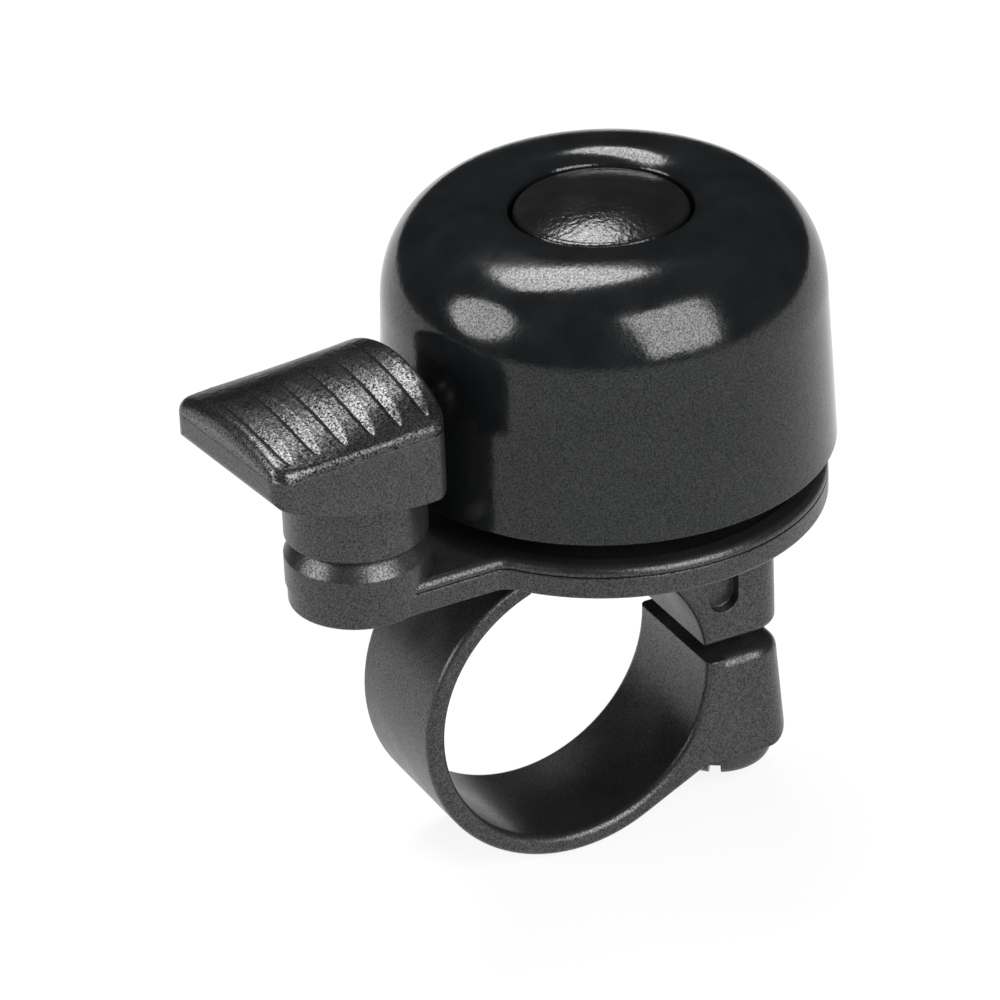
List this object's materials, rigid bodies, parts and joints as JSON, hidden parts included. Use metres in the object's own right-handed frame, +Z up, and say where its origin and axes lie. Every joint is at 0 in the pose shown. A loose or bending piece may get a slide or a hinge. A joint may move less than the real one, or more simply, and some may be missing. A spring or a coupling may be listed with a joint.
{
  "type": "bicycle bell",
  "caption": "Handlebar bell: painted dome gong over a swivelling base with a sprung thumb striker, on a screw-closed strap clamp",
  "frame": {"origin": "on the handlebar's axis, at the middle of the clamp's width", "axes": "+Y along the handlebar, +Z up through the bell's swivel axis direction, +X towards the clamp's screw"},
  "size_m": [0.0516, 0.0344, 0.0526],
  "materials": {
    "gloss_paint": "deep gloss black paint with a slight orange peel",
    "moulded_nylon": "semi-matte moulded black nylon with fine grain",
    "textured_plastic": "black plastic with a pebbled satin texture",
    "pad_rubber": "rough textured black rubber with raised ribs",
    "bearing_plastic": "natural off-white acetal",
    "black_steel": "black oxide steel, worn at its edges",
    "zinc_steel": "zinc plated steel",
    "spring_steel": "drawn spring wire"
  },
  "bodies": {
    "clamp": {"clamp_saddle": "moulded_nylon", "clamp_nut": "zinc_steel"},
    "strap": {"clamp_strap": "moulded_nylon", "clamp_washer": "black_steel"},
    "clamp_screw": {"clamp_screw": "black_steel"},
    "bell": {"lower_plate": "moulded_nylon", "upper_plate": "moulded_nylon", "swivel_washer": "bearing_plastic", "centre_bolt": "zinc_steel", "dome": "gloss_paint", "dome_bush": "bearing_plastic", "dome_washer": "zinc_steel", "dome_nut": "zinc_steel", "dome_cap": "textured_plastic", "spring_plug": "moulded_nylon", "plug_screw": "zinc_steel", "striker_spring": "spring_steel"},
    "striker": {"striker_body": "moulded_nylon", "thumb_pad": "pad_rubber", "hammer": "black_steel"}
  },
  "joints": [
    {"name": "strap_close", "type": "hinge", "parent": "clamp", "child": "strap", "pos_m": [-0.00239, 0, 0.01227], "axis": [0, -1, 0], "range_deg": [0, 2.01]},
    {"name": "clamp_screw_turn", "type": "hinge", "parent": "strap", "child": "clamp_screw", "pos_m": [0.0151, 0, -0.009], "axis": [0, 0, 1], "range_deg": [0, 398.5]},
    {"name": "bell_swivel", "type": "hinge", "parent": "clamp", "child": "bell", "pos_m": [0.00617, 0, 0.0146], "axis": [0, 0, 1], "continuous": true},
    {"name": "striker_tilt", "type": "hinge", "parent": "bell", "child": "striker", "pos_m": [-0.01722, -0.00425, 0.0155], "axis": [0.1788, -0.9839, 0], "range_deg": [-3.5, 20], "stiffness_Nm_per_rad": 0.25, "deforming": ["striker_spring"]}
  ],
  "couplings": [
    {"joint": "clamp_screw_turn", "follows": "strap_close", "ratio": 198}
  ]
}
